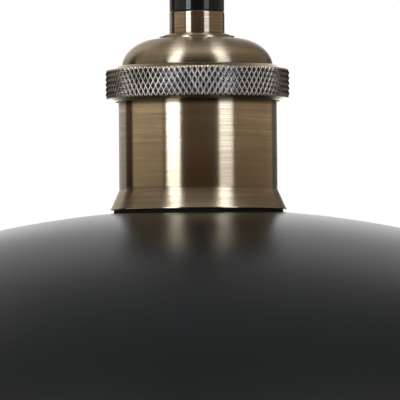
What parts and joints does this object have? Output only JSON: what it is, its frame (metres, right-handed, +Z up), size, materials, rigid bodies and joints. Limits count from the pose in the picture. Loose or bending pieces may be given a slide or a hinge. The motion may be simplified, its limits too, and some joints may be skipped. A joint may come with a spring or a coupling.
{
  "type": "pendant ceiling light",
  "caption": "Pendant lamp head: a domed metal shade clamped under a knurled brass screw lampholder, hung by a black cord grip.",
  "frame": {"origin": "centre of the cord entry's mouth, on top of the cord grip: the point that the lamp hangs from", "axes": "+Z up along the lamp's axis, out of the cord entry; +X towards the cord clamp screw"},
  "size_m": [0.3526, 0.3524, 0.1954],
  "materials": {
    "antique_brass": "dark antique brass, brushed round the axis, under clear lacquer",
    "plain_brass": "turned brass, plain",
    "zinc_plated_steel": "bright zinc plate",
    "nickel_plated_brass": "nickel plate, satin",
    "spring_bronze": "rolled bronze strip",
    "gloss_black_plastic": "gloss",
    "black_phenolic": "moulded phenolic, satin",
    "black_fibre": "matte",
    "porcelain": "glazed, unglazed below",
    "charcoal_enamel": "satin charcoal enamel outside, matt white inside"
  },
  "bodies": {
    "cap": {"dome_cap": "antique_brass", "neck_collar": "antique_brass", "threaded_nipple": "plain_brass", "cap_lock_nut": "zinc_plated_steel", "cap_lock_washer": "zinc_plated_steel", "earth_tag": "plain_brass", "earth_screw": "zinc_plated_steel", "cord_grip_body": "gloss_black_plastic"},
    "union_ring": {"knurled_ring": "antique_brass"},
    "lampholder": {"socket_sleeve": "antique_brass", "insulating_barrel": "black_phenolic", "contact_block": "porcelain", "block_retaining_ring": "zinc_plated_steel", "screw_shell": "nickel_plated_brass", "shell_rivets": "plain_brass", "shell_terminal": "plain_brass", "centre_terminal": "plain_brass", "terminal_screws": "zinc_plated_steel", "shade_gasket": "black_fibre"},
    "centre_contact": {"centre_contact": "spring_bronze"},
    "shade": {"shade": "charcoal_enamel", "shade_washer": "black_fibre"},
    "shade_ring": {"shade_ring": "black_phenolic"},
    "clamp_shoe": {"cord_clamp_shoe": "black_fibre"},
    "clamp_screw": {"cord_clamp_screw": "zinc_plated_steel"}
  },
  "joints": [
    {"name": "union_ring_turn", "type": "hinge", "parent": "cap", "child": "union_ring", "pos_m": [0, 0, -0.03395], "axis": [0, 0, 1], "range_deg": [0, 1441]},
    {"name": "lampholder_drop", "type": "slide", "parent": "cap", "child": "lampholder", "axis": [0, 0, -1], "range_m": [0, 0.005]},
    {"name": "centre_contact_flex", "type": "hinge", "parent": "lampholder", "child": "centre_contact", "pos_m": [-0.003, 0, -0.05505], "axis": [0, -1, 0], "range_deg": [0, 18], "stiffness_Nm_per_rad": 0.02},
    {"name": "shade_drop", "type": "slide", "parent": "lampholder", "child": "shade", "axis": [0, 0, -1], "range_m": [0, 0.015]},
    {"name": "shade_ring_turn", "type": "hinge", "parent": "shade", "child": "shade_ring", "pos_m": [0, 0, -0.07295], "axis": [0, 0, -1], "range_deg": [0, 2161]},
    {"name": "clamp_shoe_travel", "type": "slide", "parent": "cap", "child": "clamp_shoe", "axis": [-1, 0, 0], "range_m": [0, 0.0015]},
    {"name": "clamp_screw_turn", "type": "hinge", "parent": "clamp_shoe", "child": "clamp_screw", "pos_m": [0.007, 0, -0.0072], "axis": [-1, 0, 0], "range_deg": [0, 772]}
  ],
  "couplings": [
    {"joint": "union_ring_turn", "follows": "lampholder_drop", "rad_per_m": 5026.5},
    {"joint": "shade_ring_turn", "follows": "shade_drop", "rad_per_m": 2513.3},
    {"joint": "clamp_screw_turn", "follows": "clamp_shoe_travel", "rad_per_m": 8976}
  ]
}
